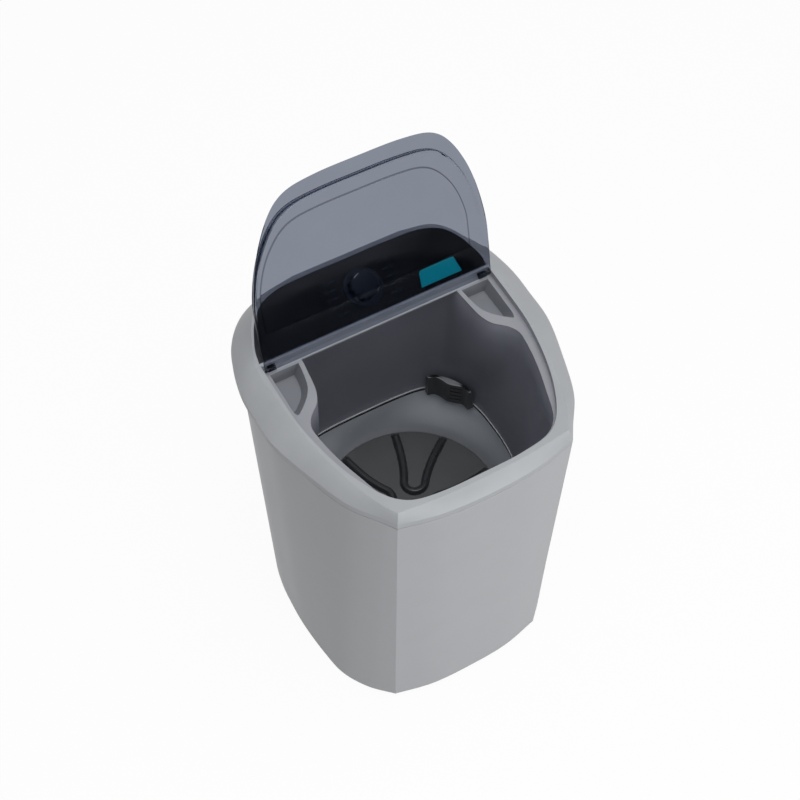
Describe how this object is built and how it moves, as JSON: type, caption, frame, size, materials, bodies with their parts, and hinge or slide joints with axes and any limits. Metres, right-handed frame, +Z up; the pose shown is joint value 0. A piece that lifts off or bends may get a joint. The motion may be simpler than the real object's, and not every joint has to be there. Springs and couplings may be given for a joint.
{
  "type": "top-loading washing machine",
  "caption": "Semi-automatic top-loading washer with a smoke lid standing open, a round-cornered tub, a ribbed impeller, a lint filter and a sloped console with a timer knob.",
  "frame": {"origin": "on the floor, under the middle of the bounding box as it stands with the lid open", "axes": "+Z up; -Y is the front of the machine, the side with the lid's free edge; +X is to the right of someone facing the front"},
  "size_m": [0.5774, 0.568, 1.1288],
  "materials": {
    "cabinet": "silver grey, satin",
    "frame": "silver grey, satin",
    "lid": "clear smoke grey",
    "collar": "dark grey",
    "bowl": "mid grey",
    "impeller": "dark grey",
    "filter": "dark grey",
    "pale_plastic": "pale, plain",
    "console": "gloss black",
    "knob": "black",
    "badge": "teal",
    "black_plastic": "black, plain",
    "rubber": "matt black",
    "steel": "ground",
    "zinc": "zinc plated",
    "aluminium": "as cast",
    "bronze": "sintered"
  },
  "bodies": {
    "machine": {"cabinet": "cabinet", "rear_cover": "cabinet", "top_frame": "frame", "tub_collar": "collar", "tub_bowl": "bowl", "tub_gasket": "pale_plastic", "timer_module": "pale_plastic", "capacitor": "pale_plastic", "console_fascia": "console", "badge_plate": "badge", "console_housing": "black_plastic", "base_tray": "black_plastic", "drain_pipe": "black_plastic", "drain_spigot": "black_plastic", "foot_front_left": "rubber", "foot_front_right": "rubber", "foot_back_left": "rubber", "foot_back_right": "rubber", "shaft_seal": "rubber", "cable_gland": "rubber", "drive_belt": "rubber", "hinge_pin_left": "steel", "hinge_pin_right": "steel", "drive_plate": "zinc", "capacitor_clip": "zinc", "housing_bolt_1": "zinc", "housing_bolt_2": "zinc", "housing_bolt_3": "zinc", "housing_bolt_4": "zinc", "motor_bolt_1": "zinc", "motor_bolt_2": "zinc", "motor_bolt_3": "zinc", "motor_bolt_4": "zinc", "cover_screw_1": "zinc", "cover_screw_2": "zinc", "cover_screw_3": "zinc", "cover_screw_4": "zinc", "bearing_housing": "aluminium", "motor_housing": "aluminium", "upper_bush": "bronze", "lower_bush": "bronze"},
    "lid_body": {"lid": "lid"},
    "knob_body": {"timer_knob": "knob", "timer_spindle": "steel"},
    "impeller_set": {"impeller": "impeller", "impeller_cap": "impeller", "impeller_bolt": "steel", "drive_shaft": "steel", "driven_pulley": "aluminium", "pulley_nut": "zinc"},
    "motor_rotor": {"motor_shaft": "steel", "motor_pulley": "aluminium"},
    "lint_filter": {"filter_cover": "filter", "filter_screen": "pale_plastic"}
  },
  "joints": [
    {"name": "lid_hinge", "type": "hinge", "parent": "machine", "child": "lid_body", "pos_m": [0, 0.118, 0.766], "axis": [1, 0, 0], "range_deg": [0, 103.36]},
    {"name": "knob_turn", "type": "hinge", "parent": "machine", "child": "knob_body", "pos_m": [0, 0.17907, 0.79686], "axis": [0, -0.4226, 0.9063], "range_deg": [0, 300]},
    {"name": "impeller_spin", "type": "hinge", "parent": "machine", "child": "impeller_set", "pos_m": [0, -0.007, 0.29], "axis": [0, 0, 1], "continuous": true},
    {"name": "motor_spin", "type": "hinge", "parent": "machine", "child": "motor_rotor", "pos_m": [0, 0.148, 0.145], "axis": [0, 0, 1], "continuous": true},
    {"name": "filter_lift", "type": "slide", "parent": "machine", "child": "lint_filter", "axis": [-0.1925, -0.1925, 0.9623], "range_m": [0, 0.06]}
  ],
  "couplings": [
    {"joint": "motor_spin", "follows": "impeller_spin", "ratio": 4.032}
  ]
}
